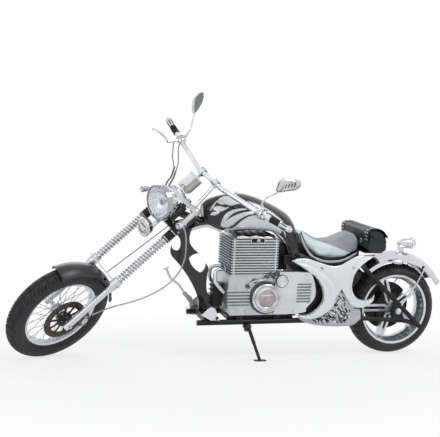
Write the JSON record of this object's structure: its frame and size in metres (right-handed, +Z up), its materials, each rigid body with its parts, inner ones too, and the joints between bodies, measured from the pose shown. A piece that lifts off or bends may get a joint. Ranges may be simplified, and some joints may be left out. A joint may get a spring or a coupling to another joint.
{
  "type": "chopper motorcycle",
  "caption": "Chopper motorcycle with a long raked springer-look fork, hardtail frame, finned engine, solo seat, rolled tool bag and side stand; it steers, both wheels turn and the stand folds.",
  "frame": {"origin": "centre of the bounding box at the ground", "axes": "+X forward along the parked machine, +Y to its left, +Z up"},
  "size_m": [2.5211, 0.8064, 1.4955],
  "materials": {
    "tyre_rubber": "matt black tyre rubber",
    "chrome": "bright chrome plate",
    "satin_alloy": "satin aluminium",
    "cast_alloy": "cast aluminium",
    "black_paint": "gloss black paint",
    "tank_paint": "gloss black paint with silver flames",
    "pearl_paint": "pearl white-silver paint",
    "pan_paint": "silver paint with black shapes",
    "disc_steel": "browned drilled steel",
    "black_rubber": "black rubber",
    "seat_leather": "grey top, pale blue sides",
    "black_leather": "black studded leather",
    "black_plastic": "matt black plastic",
    "clear_lens": "clear faceted lens",
    "red_lens": "red lens"
  },
  "bodies": {
    "frame": {"backbone": "black_paint", "battery_box": "black_paint", "belly_pan": "pan_paint", "clutch_cover": "chrome", "cradle": "black_paint", "crankcase": "cast_alloy", "down_plate": "black_paint", "engine_block": "cast_alloy", "foot_bracket_left": "chrome", "foot_bracket_right": "chrome", "front_pipes": "chrome", "gearbox_cover": "cast_alloy", "rear_axle": "chrome", "rear_fender": "chrome", "rear_signals": "chrome", "rear_stay_left": "black_paint", "rear_stay_right": "black_paint", "rocker_cover": "chrome", "seat": "seat_leather", "seat_base": "black_plastic", "side_cover_left": "pearl_paint", "side_cover_right": "pearl_paint", "tail_lamp": "chrome", "tail_lens": "red_lens", "tank": "tank_paint", "tool_bag": "black_leather"},
    "fork": {"fork_slider_left": "satin_alloy", "fork_slider_right": "satin_alloy", "fork_spring_left": "chrome", "fork_spring_right": "chrome", "fork_tube_left": "satin_alloy", "fork_tube_right": "satin_alloy", "lower_clamp": "black_paint", "upper_clamp": "chrome", "fork_brace": "satin_alloy", "front_axle": "chrome", "front_fender": "black_paint", "brake_caliper": "satin_alloy", "headlight": "chrome", "headlight_lens": "clear_lens", "horn": "chrome", "speedometer": "chrome", "front_signal_left": "chrome", "front_signal_right": "chrome", "handlebar": "chrome", "bar_risers": "chrome", "grip_left": "black_rubber", "grip_right": "black_rubber", "bar_control_left": "black_plastic", "bar_control_right": "black_plastic", "mirror_left": "chrome", "mirror_right": "chrome", "brake_hose": "black_rubber", "control_cables": "black_rubber"},
    "front_wheel": {"front_tyre": "tyre_rubber", "front_rim": "satin_alloy", "brake_disc": "disc_steel"},
    "rear_wheel": {"rear_tyre": "tyre_rubber", "rear_rim": "satin_alloy"},
    "side_stand": {"side_stand": "black_paint"}
  },
  "joints": [
    {"name": "steering", "type": "hinge", "parent": "frame", "child": "fork", "pos_m": [0.3357, -0.032, 0.83702], "axis": [-0.7247, 0.1057, 0.6809], "range_deg": [-80, 0]},
    {"name": "front_wheel_spin", "type": "hinge", "parent": "fork", "child": "front_wheel", "pos_m": [0.98923, -0.1033, 0.25126], "axis": [-0.4451, 0.6825, -0.5797], "continuous": true},
    {"name": "rear_wheel_spin", "type": "hinge", "parent": "frame", "child": "rear_wheel", "pos_m": [-0.96596, -0.12514, 0.2731], "axis": [-0.0029, 0.9877, -0.1564], "continuous": true},
    {"name": "side_stand_fold", "type": "hinge", "parent": "frame", "child": "side_stand", "pos_m": [-0.03161, 0.02117, 0.17581], "axis": [-0.0065, 0.9232, 0.3842], "range_deg": [0, 68.4]}
  ]
}
